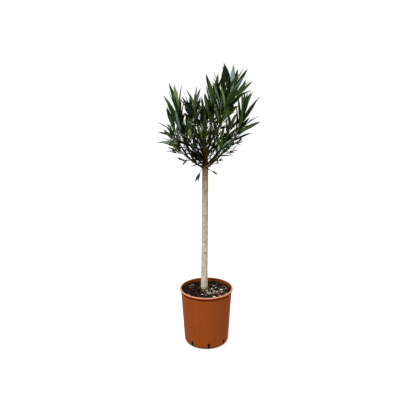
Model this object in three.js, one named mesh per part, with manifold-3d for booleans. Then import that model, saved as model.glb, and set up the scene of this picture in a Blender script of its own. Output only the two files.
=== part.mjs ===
// A potted oleander, grown as a small tree on one bare trunk, in millimetres.
// +Z is up and -Y is the front. The origin is the centre of the pot's flat underside.
import * as THREE from "three";
import { mergeVertices } from "three/addons/utils/BufferGeometryUtils.js";
import Module from "manifold-3d";

const wasm = await Module();
wasm.setup();

// Clearance between two solids that touch on the real plant.
const GAP = 0.3;

// The pot: a tapered plastic container with a rolled rim, a rounded foot and drainage slots round the foot.
const POT_HEIGHT = 359;
const POT_RIM_RADIUS = 163.5;
const POT_BEAD = 6;
const POT_MOUTH_RADIUS = 156.5;
const POT_FOOT_RADIUS = 137;
const POT_FOOT_ROUND = 30;
const POT_WALL = 3;
const POT_SEGMENTS = 40;
const SLOT_COUNT = 8;
const SLOT_WIDTH = 15;
const SLOT_LOW = 6;
const SLOT_HIGH = 48;
const SLOT_HEADING = 6.5; // of the first slot, in degrees to the right of the front

// The soil: its edge lies below the rim, and it rises a little to a flat seat under the trunk.
const SOIL_EDGE_HEIGHT = 338;
const SOIL_CROWN_HEIGHT = 341;
const SOIL_SEAT_HEIGHT = 345;
const SOIL_SEAT_RADIUS = 25;
const SOIL_MOUND_RADIUS = 62;
const SOIL_MOUND_SEGMENTS = 24;

// The trunk: a bare stem with a flared foot. It leans a little, tapers to the fork and runs on, thinner, into
// the crown.
const TRUNK_FOOT = new THREE.Vector2(-13, 15);
const TRUNK_FORK = new THREE.Vector2(-6, 15);
const TRUNK_FORK_HEIGHT = 1100;
const TRUNK_TOP_HEIGHT = 1224;
const TRUNK_FOOT_RADIUS = 20.5;
const TRUNK_RADIUS = 18;
const TRUNK_TOP_RADIUS = 12.5;
const TRUNK_FLARE = 1.5;
const TRUNK_FLARE_HEIGHT = 45;
const TRUNK_SIDES = 12;
const TRUNK_STEPS = 10;
const TRUNK_STEP_GROWTH = 1.6;

// The limbs. Each springs from the trunk at a height, or from another limb part of the way along it, and
// ends in a growing point. That lies at a heading from the front towards the right, at a reach from the
// fork's axis and at a height. Then come the length of its longest leaves, the share to which they open, the
// number of side twigs near its end and the seed of its dice. A limb's first share is its bough, and whorls
// follow.
const BOUGH_SHARE = 0.42;
const WHORLS_ON_STEM = 5;
const LIMBS = [
  ["left_low", "trunk", 1098, -72, 192, 1288, 98, 0.8, 1, 10],
  ["right_outer", "trunk", 1098, 85, 206, 1380, 192, 0.46, 1, 9],
  ["back_low_left", "trunk", 1112, -126, 172, 1298, 125, 1, 1, 3],
  ["front_low", "trunk", 1118, 36, 165, 1258, 100, 0.9, 1, 4],
  ["back_low_right", "trunk", 1116, 124, 170, 1312, 125, 0.8, 1, 8],
  ["front_left", "trunk", 1132, -36, 158, 1328, 115, 1, 1, 4],
  ["back_middle", "trunk", 1140, -176, 168, 1372, 145, 1, 1, 3],
  ["front_middle", "trunk", 1155, -6, 128, 1312, 105, 1, 2, 8],
  ["back_left", "trunk", 1162, -148, 158, 1412, 140, 0.9, 1, 7],
  ["front_right", "trunk", 1170, 41, 122, 1362, 155, 0.9, 1, 2],
  ["back_right", "trunk", 1176, 146, 158, 1462, 155, 0.9, 2, 6],
  ["left_middle", "trunk", 1186, -118, 66, 1450, 135, 0.9, 2, 1],
  ["top_right", "trunk", 1192, 72, 100, 1506, 186, 1, 1, 7],
  ["top_middle", "trunk", 1215, 116, 56, 1478, 190, 0.75, 1, 3],
  ["left_top", "left_low", 0.19, -74, 154, 1398, 208, 0.34, 2, 11],
  ["left_outer", "left_low", 0.34, -98, 184, 1345, 140, 0.85, 1, 3],
  ["right_low", "right_outer", 0.35, 70, 160, 1255, 80, 0.9, 1, 2],
  ["right_top", "top_right", 0.33, 106, 158, 1535, 190, 0.95, 2, 6],
  ["right_front", "top_right", 0.22, 52, 140, 1462, 165, 1, 1, 8],
].map(([name, from, foot, heading, reach, height, leaf, opening, twigs, seed]) => {
  const grown = { whorls: WHORLS_ON_STEM, boughShare: BOUGH_SHARE };
  return { name, from, foot, heading, reach, height, leaf, opening, twigs, seed, ...grown };
});

// Short spurs with a few hanging leaves, low in the crown. They spring from the bark, with no bough or side
// twigs, and the last number but one counts their whorls.
const SPURS = [
  ["spur_left", "trunk", 1118, -34, 54, 1084, 66, 1, 1, 8],
  ["spur_right", "trunk", 1106, 42, 50, 1096, 56, 1, 1, 4],
  ["spur_low", "left_low", 0.3, -62, 126, 1160, 76, 1, 3, 4],
].map(([name, from, foot, heading, reach, height, leaf, opening, whorls, seed]) => {
  return { name, from, foot, heading, reach, height, leaf, opening, twigs: 0, seed, whorls, boughShare: 0 };
});

// A limb runs outwards first and then bends up.
const LIMB_BEND_OUT = 0.84;
const LIMB_BEND_UP = 0.5;
const BOUGH_FOOT_RADIUS = 6.5;
const BOUGH_TIP_RADIUS = 4.4;
const BOUGH_SIDES = 6;
const BOUGH_STEPS = 5;

// Twigs are three-sided. A side twig leaves the stem at a lean and turns up towards its own growing point.
const TWIG_SIDES = 3;
const TWIG_STEPS = 3;
const TWIG_RADIUS = 3.6;
const SIDE_TWIG_LEAN = 42;
const SIDE_TWIG_LENGTH = 78;
const SIDE_TWIG_SPACING = 0.3;
const SIDE_TWIG_STEPS = 2;
const GOLDEN_ANGLE = 137.5;

// Leaves stand in whorls of three, close together at the growing point and wider apart below it, each whorl
// turned against the last.
const LEAVES_PER_WHORL = 3;
const WHORL_FIRST = 5;
const WHORL_SPACING = 21;
const WHORL_SPACING_GROWTH = 4;
const WHORLS_ON_SIDE_TWIG = 3;
const WHORL_TURN = 60;
const TURN_VARIATION = 30;
const BARE_FOOT = 8;

// A leaf stands at a spread from its twig that grows from whorl to whorl, times the share to which its limb's
// leaves open, and arches outwards by a sag.
const SPREAD_FIRST = 14;
const SPREAD_STEP = 11;
const SPREAD_VARIATION = 18;
const SAG_FIRST = 0.03;
const SAG_STEP = 0.02;
const SAG_VARIATION = 0.06;
const SHORTEST_LEAF = 0.88;
const LEAF_LENGTH_VARIATION = 0.2;
const SIDE_TWIG_LEAF_SHARE = 0.75;
const LEAF_WIDTH_SHARE = 0.16;
const LEAF_THICKNESS_SHARE = 0.012;
const LEAF_SIDES = 3;
const LEAF_STEPS = 2;
const PETIOLE_HALF_WIDTH = 1;

// Each mass keeps to the space that is nearer to its own stem, drawn on past the growing point, than to any
// other mass's stem, and clear of the trunk and boughs.
const SPACE_REACH = 120;
const SPACE_MARGIN = 2;
const LIMB_MARGIN = 1.5;
const LEAF_CLOSINGS = [1, 0.75, 0.5];
const LEAF_SHORTENINGS = [1, 0.85];
const LEAF_TURNS = [0, 25, -25];

// Leaves of one mass keep this far from each other's midribs, past their stalks.
const LEAF_CLEARANCE = 6;

const UP = new THREE.Vector3(0, 0, 1);
const radians = THREE.MathUtils.degToRad;
const degrees = THREE.MathUtils.radToDeg;
const mix = THREE.MathUtils.lerp;

const FINISHES = {
  pot: { color: 0x94471e, roughness: 0.45 },
  soil: { color: 0x3b2f25, roughness: 1 },
  trunk: { color: 0xb1a392, roughness: 0.85 },
  bough: { color: 0x6a5a3c, roughness: 0.85 },
  foliage: { color: 0x303b21, roughness: 0.55 },
};

const plant = new THREE.Group();

function addPiece(name, finish, solid) {
  const mesh = solid.getMesh();
  const geometry = new THREE.BufferGeometry();
  geometry.setAttribute("position", new THREE.BufferAttribute(mesh.vertProperties, 3));
  geometry.setIndex(new THREE.BufferAttribute(mesh.triVerts, 1));
  geometry.computeVertexNormals();
  const material = new THREE.MeshStandardMaterial({ ...FINISHES[finish], metalness: 0 });
  const piece = new THREE.Mesh(geometry, material);
  piece.name = name;
  plant.add(piece);
}

// Joins the corners that lie in one place, as a closed solid needs.
function mergeCorners(geometry) {
  geometry.deleteAttribute("normal");
  geometry.deleteAttribute("uv");
  return mergeVertices(geometry);
}

function toSolid(geometry) {
  const merged = mergeCorners(geometry);
  const vertProperties = new Float32Array(merged.getAttribute("position").array);
  const triVerts = new Uint32Array(merged.getIndex().array);
  return new wasm.Manifold(new wasm.Mesh({ numProp: 3, vertProperties, triVerts }));
}

// Joins solids that grow into each other, without the hollows and scraps that the join leaves.
function fuse(solids) {
  const bodies = wasm.Manifold.union(solids).decompose();
  return bodies.reduce((largest, body) => (body.volume() > largest.volume() ? body : largest));
}

// A closed cylinder whose corners are placed one by one: x and z lie on a unit circle round its axis, and t
// runs from 0 at its foot to 1 at its tip. A pointed one ends in a single corner.
function bentCylinder(sides, steps, pointed, place) {
  const bent = mergeCorners(new THREE.CylinderGeometry(pointed ? 0 : 1, 1, 1, sides, steps));
  const corners = bent.getAttribute("position");
  for (let index = 0; index < corners.count; index += 1) {
    const t = corners.getY(index) + 0.5;
    const narrowing = pointed && t < 1 ? 1 - t : 1;
    const corner = place(corners.getX(index) / narrowing, t, corners.getZ(index) / narrowing);
    corners.setXYZ(index, corner.x, corner.y, corner.z);
  }
  return toSolid(bent);
}

// Points of an arc in a profile, angles in degrees, counter-clockwise from the outward direction.
function arc(centreRadius, centreHeight, radius, from, to, steps) {
  return Array.from({ length: steps + 1 }, (_, step) => {
    const angle = radians(mix(from, to, step / steps));
    const spoke = new THREE.Vector2(Math.cos(angle), Math.sin(angle));
    return new THREE.Vector2(centreRadius, centreHeight).addScaledVector(spoke, radius);
  });
}

function lathe(profile, segments) {
  return toSolid(new THREE.LatheGeometry(profile, segments).rotateX(Math.PI / 2));
}

// The outside of the pot's wall at a height, before the wall's thickness is taken off.
function potRadiusAt(height) {
  const share = (height - POT_FOOT_ROUND) / (POT_HEIGHT - 2 * POT_BEAD - POT_FOOT_ROUND);
  return mix(POT_FOOT_RADIUS, POT_MOUTH_RADIUS, share);
}

function makePot() {
  const footCentre = POT_FOOT_RADIUS - POT_FOOT_ROUND;
  const beadRadius = POT_RIM_RADIUS - POT_BEAD;
  const beadHeight = POT_HEIGHT - POT_BEAD;
  const outside = Math.asin((beadRadius - POT_MOUTH_RADIUS) / POT_BEAD);
  const inside = Math.asin((beadRadius - POT_MOUTH_RADIUS + POT_WALL) / POT_BEAD);
  const profile = [
    new THREE.Vector2(0, 0),
    ...arc(footCentre, POT_FOOT_ROUND, POT_FOOT_ROUND, -90, 0, 3),
    ...arc(beadRadius, beadHeight, POT_BEAD, -90 - degrees(outside), 270 - degrees(inside), 8),
    ...arc(footCentre, POT_FOOT_ROUND, POT_FOOT_ROUND - POT_WALL, 0, -90, 3),
    new THREE.Vector2(0, POT_WALL),
  ];
  const slots = Array.from({ length: SLOT_COUNT }, (_, index) => {
    const slot = new THREE.BoxGeometry(SLOT_WIDTH, 2 * POT_FOOT_ROUND, SLOT_HIGH - SLOT_LOW);
    slot.translate(0, -(POT_FOOT_RADIUS + POT_FOOT_ROUND / 4), (SLOT_LOW + SLOT_HIGH) / 2);
    slot.rotateZ(radians(SLOT_HEADING + (360 / SLOT_COUNT) * index));
    return toSolid(slot);
  });
  return lathe(profile, POT_SEGMENTS).subtract(wasm.Manifold.union(slots));
}

function makeSoil() {
  const footCentre = POT_FOOT_RADIUS - POT_FOOT_ROUND;
  const plug = lathe(
    [
      new THREE.Vector2(0, POT_WALL + GAP),
      ...arc(footCentre, POT_FOOT_ROUND, POT_FOOT_ROUND - POT_WALL - GAP, -90, 0, 3),
      new THREE.Vector2(potRadiusAt(SOIL_EDGE_HEIGHT) - POT_WALL - GAP, SOIL_EDGE_HEIGHT),
      new THREE.Vector2(0, SOIL_CROWN_HEIGHT),
    ],
    POT_SEGMENTS,
  );
  const moundHeight = SOIL_SEAT_HEIGHT - SOIL_EDGE_HEIGHT;
  const mound = new THREE.CylinderGeometry(
    SOIL_SEAT_RADIUS,
    SOIL_MOUND_RADIUS,
    moundHeight,
    SOIL_MOUND_SEGMENTS,
  );
  mound.rotateX(Math.PI / 2);
  mound.translate(TRUNK_FOOT.x, TRUNK_FOOT.y, SOIL_SEAT_HEIGHT - moundHeight / 2);
  return plug.add(toSolid(mound));
}

function trunkCentre(height) {
  const share = (height - SOIL_SEAT_HEIGHT) / (TRUNK_FORK_HEIGHT - SOIL_SEAT_HEIGHT);
  const centre = TRUNK_FOOT.clone().lerp(TRUNK_FORK, share);
  return new THREE.Vector3(centre.x, centre.y, height);
}

function trunkRadius(height) {
  const flare = TRUNK_FLARE * Math.exp((SOIL_SEAT_HEIGHT - height) / TRUNK_FLARE_HEIGHT);
  if (height < TRUNK_FORK_HEIGHT) {
    const share = (height - SOIL_SEAT_HEIGHT) / (TRUNK_FORK_HEIGHT - SOIL_SEAT_HEIGHT);
    return mix(TRUNK_FOOT_RADIUS, TRUNK_RADIUS, share) + flare;
  }
  const share = (height - TRUNK_FORK_HEIGHT) / (TRUNK_TOP_HEIGHT - TRUNK_FORK_HEIGHT);
  return mix(TRUNK_RADIUS, TRUNK_TOP_RADIUS, share) + flare;
}

// The trunk, or the space that it takes up with a clearance on its side and top. Its rings lie level and
// stand closer together at the flared foot.
function makeTrunk(clearance) {
  const foot = SOIL_SEAT_HEIGHT + GAP;
  return bentCylinder(TRUNK_SIDES, TRUNK_STEPS, false, (x, t, z) => {
    const height = mix(foot, TRUNK_TOP_HEIGHT + clearance, t ** TRUNK_STEP_GROWTH);
    const radius = trunkRadius(height) + clearance;
    return trunkCentre(height).add(new THREE.Vector3(z * radius, x * radius, 0));
  });
}

function growingPoint(limb) {
  const heading = radians(limb.heading);
  const x = TRUNK_FORK.x + limb.reach * Math.sin(heading);
  const y = TRUNK_FORK.y - limb.reach * Math.cos(heading);
  return new THREE.Vector3(x, y, limb.height);
}

function limbCurve(foot, tip) {
  const bend = foot.clone().lerp(tip, LIMB_BEND_OUT);
  bend.z = mix(foot.z, tip.z, LIMB_BEND_UP);
  return new THREE.QuadraticBezierCurve3(foot, bend, tip);
}

// A rounded limb along a stretch of a curve, its radius running evenly from foot to tip.
function makeLimb(curve, from, to, footRadius, tipRadius, sides, steps) {
  const across = curve.getTangent(0).cross(UP).normalize();
  return bentCylinder(sides, steps, false, (x, t, z) => {
    const place = mix(from, to, t);
    const radius = mix(footRadius, tipRadius, t);
    const side = across.clone().cross(curve.getTangent(place)).normalize();
    return curve.getPoint(place).addScaledVector(across, x * radius).addScaledVector(side, z * radius);
  });
}

// A row of numbers from 0 to 1 that is the same for the same seed: each comes from the last by multiplying it
// and keeping the rest of a division by a prime.
const DICE_PRIME = 2147483647;
const DICE_FACTOR = 16807;
const DICE_SEED_FACTOR = 7919;

function makeDice(seed) {
  let state = (seed * DICE_SEED_FACTOR) % DICE_PRIME;
  return () => {
    state = (state * DICE_FACTOR) % DICE_PRIME;
    return state / DICE_PRIME;
  };
}

function distanceToPath(point, path) {
  const nearest = new THREE.Vector3();
  let distance = Infinity;
  for (let index = 1; index < path.length; index += 1) {
    const line = new THREE.Line3(path[index - 1], path[index]);
    line.closestPointToPoint(point, true, nearest);
    distance = Math.min(distance, nearest.distanceTo(point));
  }
  return distance;
}

// What the leaves of a mass have to respect: every mass's space, and the trunk and boughs with their radii.
const curves = new Map();
const spaces = new Map();
const wood = [];

function planLimb(limb) {
  const parent = curves.get(limb.from);
  const foot = parent ? parent.getPoint(limb.foot) : trunkCentre(limb.foot);
  const curve = limbCurve(foot, growingPoint(limb));
  curves.set(limb.name, curve);
  const path = pathBetween(curve, limb.boughShare, 1, 2);
  path.push(curve.getPoint(1).addScaledVector(curve.getTangent(1), SPACE_REACH));
  spaces.set(limb.name, path);
}

function pathBetween(curve, from, to, steps) {
  return Array.from({ length: steps + 1 }, (_, step) => curve.getPoint(mix(from, to, step / steps)));
}

function planWood() {
  const trunkPath = [trunkCentre(SOIL_SEAT_HEIGHT), trunkCentre(TRUNK_TOP_HEIGHT)];
  wood.push({ path: trunkPath, radius: TRUNK_RADIUS });
  for (const limb of LIMBS) {
    const path = pathBetween(curves.get(limb.name), 0, limb.boughShare, BOUGH_STEPS);
    wood.push({ path, radius: BOUGH_FOOT_RADIUS });
  }
}

// True where a point lies in the mass's own space and clear of the trunk and every bough.
function isFree(point, name) {
  const own = distanceToPath(point, spaces.get(name));
  for (const [other, path] of spaces) {
    if (other !== name && distanceToPath(point, path) < own + SPACE_MARGIN) {
      return false;
    }
  }
  return wood.every((limb) => distanceToPath(point, limb.path) > limb.radius + LIMB_MARGIN);
}

function leafHalfWidth(leaf, t) {
  const half = leaf.length * LEAF_WIDTH_SHARE * 0.5;
  return t <= 0.5 ? mix(PETIOLE_HALF_WIDTH, half, 2 * t) : mix(half, 0, 2 * t - 1);
}

function leafPoint(leaf, t, across, down) {
  return leaf.base
    .clone()
    .addScaledVector(leaf.forward, leaf.length * t)
    .addScaledVector(leaf.up, -leaf.sag * leaf.length * t * t - down)
    .addScaledVector(leaf.side, across * leafHalfWidth(leaf, t));
}

function leafPoints(leaf, places, acrosses) {
  return places.flatMap((t) => acrosses.map((across) => leafPoint(leaf, t, across, 0)));
}

// True where a leaf stays in its mass's space and crosses no leaf that the mass already has.
function leafFits(leaf, name, leaves) {
  const outer = leafPoints(leaf, [1 / 3, 1 / 2, 2 / 3, 5 / 6, 1], [-1, 0, 1]);
  const whole = [...leafPoints(leaf, [1 / 6], [-1, 0, 1]), ...outer];
  if (!whole.every((point) => isFree(point, name))) {
    return false;
  }
  return leaves.every((other) => {
    return outer.every((point) => distanceToPath(point, other.midrib) > LEAF_CLEARANCE);
  });
}

// A direction square to an axis, turned round it by an angle.
function squareTo(axis, turn) {
  const sideways = axis.clone().cross(UP).normalize();
  const outward = sideways.clone().multiplyScalar(Math.cos(radians(turn)));
  return outward.addScaledVector(sideways.cross(axis), Math.sin(radians(turn)));
}

// A leaf that stands at a spread from its twig, with its upper face towards the twig's tip.
function aimLeaf(base, axis, turn, spread, length, sag) {
  const outward = squareTo(axis, turn);
  const forward = axis.clone().multiplyScalar(Math.cos(spread)).addScaledVector(outward, Math.sin(spread));
  const up = axis.clone().multiplyScalar(Math.sin(spread)).addScaledVector(outward, -Math.cos(spread));
  const side = up.clone().cross(forward);
  const leaf = { base, forward, up, side, length, sag };
  leaf.midrib = leafPoints(leaf, [0.3, 0.5, 0.7, 0.85, 1], [0]);
  return leaf;
}

// The leaf as it stands, or turned aside, closed towards its twig or shortened so that it fits; or none.
function fitLeaf(name, leaves, base, axis, turn, spread, length, sag) {
  for (const shortening of LEAF_SHORTENINGS) {
    for (const closing of LEAF_CLOSINGS) {
      for (const aside of LEAF_TURNS) {
        const leaf = aimLeaf(base, axis, turn + aside, spread * closing, length * shortening, sag);
        if (leafFits(leaf, name, leaves)) {
          return leaf;
        }
      }
    }
  }
  return null;
}

// A leaf has a flat upper face between its two edges and a keel below its midrib.
function makeLeaf(leaf) {
  const thickness = leaf.length * LEAF_THICKNESS_SHARE;
  const edgeX = Math.sin(radians(120));
  const edgeZ = Math.cos(radians(120));
  return bentCylinder(LEAF_SIDES, LEAF_STEPS, true, (x, t, z) => {
    const down = t < 1 ? ((z - edgeZ) / (1 - edgeZ)) * thickness : 0;
    return leafPoint(leaf, t, x / edgeX, down);
  });
}

// The share of its full length that a leaf reaches in each whorl: young at the tip, smaller low down.
function leafGrowth(whorl) {
  return Math.min(1, 0.92 + 0.04 * whorl) - 0.06 * Math.max(0, whorl - 2);
}

// Adds the leaves of a twig to its limb's mass, whorl after whorl down from the twig's growing point.
function growLeaves(limb, leaves, curve, from, whorls, leafLength, dice) {
  const length = curve.getLength() * (1 - from);
  let below = WHORL_FIRST;
  const phase = dice() * (360 / LEAVES_PER_WHORL);
  for (let whorl = 0; whorl < whorls; whorl += 1) {
    const place = 1 - (below / length) * (1 - from);
    for (let index = 0; index < LEAVES_PER_WHORL; index += 1) {
      const between = 360 / LEAVES_PER_WHORL;
      const turn = phase + WHORL_TURN * whorl + between * index + TURN_VARIATION * (dice() - 0.5);
      const widest = SPREAD_FIRST + SPREAD_STEP * whorl + SPREAD_VARIATION * (dice() - 0.5);
      const grown = leafLength * leafGrowth(whorl) * (SHORTEST_LEAF + LEAF_LENGTH_VARIATION * dice());
      const sag = SAG_FIRST + SAG_STEP * whorl + SAG_VARIATION * dice();
      if (below < length - BARE_FOOT) {
        const base = curve.getPoint(place);
        const axis = curve.getTangent(place);
        const spread = radians(limb.opening * widest);
        const leaf = fitLeaf(limb.name, leaves, base, axis, turn, spread, grown, sag);
        if (leaf) {
          leaves.push(leaf);
        }
      }
    }
    below += WHORL_SPACING + WHORL_SPACING_GROWTH * whorl;
  }
}

function twigFits(curve, name) {
  return [0.35, 0.6, 0.8, 1].every((place) => isFree(curve.getPoint(place), name));
}

// Side twigs leave the stem one after another, each turned on by the golden angle.
function sideTwigs(limb, stem, dice) {
  const twigs = [];
  let turn = dice() * 360;
  for (let index = 0; index < limb.twigs; index += 1) {
    const place = mix(limb.boughShare, 1, SIDE_TWIG_SPACING * (index + 0.5));
    const axis = stem.getTangent(place);
    const lean = axis.clone().multiplyScalar(Math.cos(radians(SIDE_TWIG_LEAN)));
    lean.addScaledVector(squareTo(axis, turn), Math.sin(radians(SIDE_TWIG_LEAN)));
    const length = SIDE_TWIG_LENGTH * (0.85 + 0.3 * dice());
    const foot = stem.getPoint(place);
    const bend = foot.clone().addScaledVector(lean, length / 2);
    const tip = bend.clone().addScaledVector(lean, length / 4).addScaledVector(UP, length / 4);
    const curve = new THREE.QuadraticBezierCurve3(foot, bend, tip);
    if (twigFits(curve, limb.name)) {
      twigs.push(curve);
    }
    turn += GOLDEN_ANGLE;
  }
  return twigs;
}

// One mass of foliage: the stem that goes on from its bough or bark, its side twigs and all their leaves.
function makeMass(limb) {
  const dice = makeDice(limb.seed);
  const stem = curves.get(limb.name);
  const start = limb.boughShare;
  const gap = start > 0 ? GAP / stem.getLength() : 0;
  const footRadius = start > 0 ? BOUGH_TIP_RADIUS : TWIG_RADIUS;
  const twigs = sideTwigs(limb, stem, dice);
  const leaves = [];
  growLeaves(limb, leaves, stem, start, limb.whorls, limb.leaf, dice);
  for (const twig of twigs) {
    growLeaves(limb, leaves, twig, 0, WHORLS_ON_SIDE_TWIG, SIDE_TWIG_LEAF_SHARE * limb.leaf, dice);
  }
  const mass = fuse([
    makeLimb(stem, start + gap, 1, footRadius, TWIG_RADIUS, TWIG_SIDES, TWIG_STEPS),
    ...twigs.map((twig) => makeLimb(twig, 0, 1, TWIG_RADIUS, TWIG_RADIUS, TWIG_SIDES, SIDE_TWIG_STEPS)),
    ...leaves.map(makeLeaf),
  ]);
  return start > 0 ? mass : fuse([mass.subtract(carrierOf(limb))]);
}

// A limb's bough from the middle of what carries it, or the space that it takes up with a clearance.
function makeWholeBough(limb, clearance) {
  const foot = BOUGH_FOOT_RADIUS + clearance;
  const tip = BOUGH_TIP_RADIUS + clearance;
  return makeLimb(curves.get(limb.name), 0, limb.boughShare, foot, tip, BOUGH_SIDES, BOUGH_STEPS);
}

// What a limb springs from, with the clearance that the limb's foot keeps.
function carrierOf(limb) {
  const parent = LIMBS.find((other) => other.name === limb.from);
  return parent ? makeWholeBough(parent, GAP) : makeTrunk(GAP);
}

function makeBough(limb) {
  return fuse([makeWholeBough(limb, 0).subtract(carrierOf(limb))]);
}

addPiece("pot", "pot", makePot());
addPiece("soil", "soil", makeSoil());
addPiece("trunk", "trunk", makeTrunk(0));

const stems = [...LIMBS, ...SPURS];
stems.forEach(planLimb);
planWood();
LIMBS.forEach((limb) => addPiece(`bough_${limb.name}`, "bough", makeBough(limb)));
stems.forEach((limb) => addPiece(`foliage_${limb.name}`, "foliage", makeMass(limb)));

export default plant;
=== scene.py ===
# %% [markdown]
# A potted oleander, grown as a small tree on one bare trunk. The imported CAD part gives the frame: every
# piece below is made in the same place and at the same size, in metres, and stands for one or more CAD
# nodes.

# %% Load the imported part
import math

import bpy
import numpy as np
from mathutils import Matrix, Vector, noise


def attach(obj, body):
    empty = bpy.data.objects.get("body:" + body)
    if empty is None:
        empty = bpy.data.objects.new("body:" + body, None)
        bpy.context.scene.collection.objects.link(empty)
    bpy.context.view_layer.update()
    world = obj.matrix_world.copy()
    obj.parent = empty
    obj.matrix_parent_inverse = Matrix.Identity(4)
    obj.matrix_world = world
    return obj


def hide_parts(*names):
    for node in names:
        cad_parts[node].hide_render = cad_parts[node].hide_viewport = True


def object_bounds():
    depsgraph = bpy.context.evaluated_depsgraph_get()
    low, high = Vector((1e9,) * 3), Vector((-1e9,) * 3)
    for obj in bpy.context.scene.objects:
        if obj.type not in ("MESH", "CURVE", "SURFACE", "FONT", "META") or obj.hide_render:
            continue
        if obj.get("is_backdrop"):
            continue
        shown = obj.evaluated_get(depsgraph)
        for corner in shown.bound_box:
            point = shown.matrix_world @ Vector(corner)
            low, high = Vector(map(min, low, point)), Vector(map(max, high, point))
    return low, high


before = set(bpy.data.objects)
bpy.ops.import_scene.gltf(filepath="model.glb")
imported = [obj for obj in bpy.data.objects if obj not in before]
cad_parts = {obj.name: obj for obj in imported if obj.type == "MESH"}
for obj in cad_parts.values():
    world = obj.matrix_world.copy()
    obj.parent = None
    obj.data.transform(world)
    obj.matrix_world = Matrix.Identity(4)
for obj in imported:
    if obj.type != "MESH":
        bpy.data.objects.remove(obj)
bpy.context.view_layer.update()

MM = 0.001


def mix(low, high, share):
    """The value that lies a share of the way from low to high."""
    return low + (high - low) * share


def make_active(piece):
    """Selects one piece alone, because an operator acts on all that is selected."""
    bpy.ops.object.select_all(action="DESELECT")
    piece.select_set(True)
    bpy.context.view_layer.objects.active = piece


def settle(piece, nodes):
    """Puts a finished piece's place into its mesh and hands it to the frame."""
    make_active(piece)
    bpy.ops.object.transform_apply(location=True, rotation=True, scale=True)
    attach(piece, "root")
    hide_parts(*nodes)
    print(piece.name, "has", len(piece.data.polygons), "faces")


def apply_modifier(piece, kind, **settings):
    """Adds a modifier with its settings and applies it at once."""
    make_active(piece)
    modifier = piece.modifiers.new(kind.lower(), kind)
    for name, value in settings.items():
        setattr(modifier, name, value)
    bpy.ops.object.modifier_apply(modifier=modifier.name)


def smooth(piece, angle):
    """Shades a piece smooth, except over edges that turn by more than an angle in degrees."""
    make_active(piece)
    bpy.ops.object.shade_smooth_by_angle(angle=math.radians(angle))


# %% [markdown]
# The camera stands where the photographer stood. Its distance, height, pitch and focal length were worked
# out from the pot's outline and the ellipse of its rim, so that a piece of the right size lands on the
# right spot.

# %% Camera
CAMERA_PLACE = (0.0099, -3.161, 1.742)
CAMERA_PITCH = 15.49
SENSOR_WIDTH = 36
PHOTO_SIZE = 416
FOCAL_PIXELS = 554


def stand(name, data, place, turn):
    """Puts a camera or a lamp in its place."""
    thing = bpy.data.objects.new(name, data)
    thing.location = place
    thing.rotation_euler = turn
    bpy.context.scene.collection.objects.link(thing)
    return thing


camera_data = bpy.data.cameras.new("camera")
camera_data.sensor_width = SENSOR_WIDTH
camera_data.lens = FOCAL_PIXELS / PHOTO_SIZE * SENSOR_WIDTH
camera_turn = (math.radians(90 - CAMERA_PITCH), 0, 0)
bpy.context.scene.camera = stand("camera", camera_data, CAMERA_PLACE, camera_turn)
print("camera lens", round(camera_data.lens, 2), "mm")

# %% [markdown]
# A white surround and a light table, which is a white floor that glows a little, give the even light of a
# catalogue picture, with hardly a shadow. One large soft lamp at the upper left makes the left side of the
# trunk and pot a little brighter than the right.

# %% Floor and light
FLOOR_SIZE = 30
FLOOR_WHITE = 0.5
FLOOR_GLOW = 0.6
SKY_STRENGTH = 1.04
KEY_PLACE = Vector((-1.1, -2.2, 4.2))
KEY_AIM = Vector((0, 0, 0.9))
KEY_SIZE = 2.0
KEY_POWER = 240
WHITE = (1, 1, 1, 1)


def shader_of(material):
    return material.node_tree.nodes["Principled BSDF"]


def plain_material(name, color, roughness, gloss=0.5):
    """A material with one colour, roughness and gloss, set on the shader's own sockets."""
    material = bpy.data.materials.new(name)
    material.use_nodes = True
    sockets = shader_of(material).inputs
    sockets["Base Color"].default_value = (*color, 1)
    sockets["Roughness"].default_value = roughness
    sockets["Specular IOR Level"].default_value = gloss
    return material


bpy.ops.mesh.primitive_plane_add(size=FLOOR_SIZE)
floor = bpy.context.object
floor.name = "floor"
light_table = plain_material("light_table", [FLOOR_WHITE] * 3, 1.0, 0)
shader_of(light_table).inputs["Emission Color"].default_value = WHITE
shader_of(light_table).inputs["Emission Strength"].default_value = FLOOR_GLOW
floor.data.materials.append(light_table)
floor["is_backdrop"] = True

world = bpy.data.worlds.new("studio")
world.use_nodes = True
backdrop = world.node_tree.nodes["Background"].inputs
backdrop["Color"].default_value = WHITE
backdrop["Strength"].default_value = SKY_STRENGTH
bpy.context.scene.world = world
bpy.context.scene.view_settings.view_transform = "Standard"

key_data = bpy.data.lights.new("key_lamp", "AREA")
key_data.shape = "DISK"
key_data.size = KEY_SIZE
key_data.energy = KEY_POWER
stand("key_lamp", key_data, KEY_PLACE, (KEY_AIM - KEY_PLACE).to_track_quat("-Z", "Y").to_euler())
print("key lamp", KEY_POWER, "W at", tuple(KEY_PLACE))

# %% [markdown]
# Finishes that vary need nodes. A few helpers add them: a grain from noise on the object's own coordinates,
# a ramp that turns a number into a colour or a share, a mix of two colours, and a bump. Plain numbers stay
# on the shader.


# %% Helpers for patterned finishes
def srgb(red, green, blue):
    """A colour as a screen shows it, from 0 to 255, in the shader's linear numbers."""
    shares = [value / 255 for value in (red, green, blue)]
    return tuple(share / 12.92 if share <= 0.04045 else ((share + 0.055) / 1.055) ** 2.4 for share in shares)


def add_node(material, kind, **settings):
    """Adds a shader node with its settings."""
    node = material.node_tree.nodes.new("ShaderNode" + kind)
    for name, value in settings.items():
        setattr(node, name, value)
    return node


def feed(material, socket, value):
    """Links an output to a socket, or sets the socket's own value."""
    if isinstance(value, bpy.types.NodeSocket):
        material.node_tree.links.new(value, socket)
    else:
        socket.default_value = value


def object_place(material):
    return add_node(material, "TexCoord").outputs["Object"]


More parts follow.
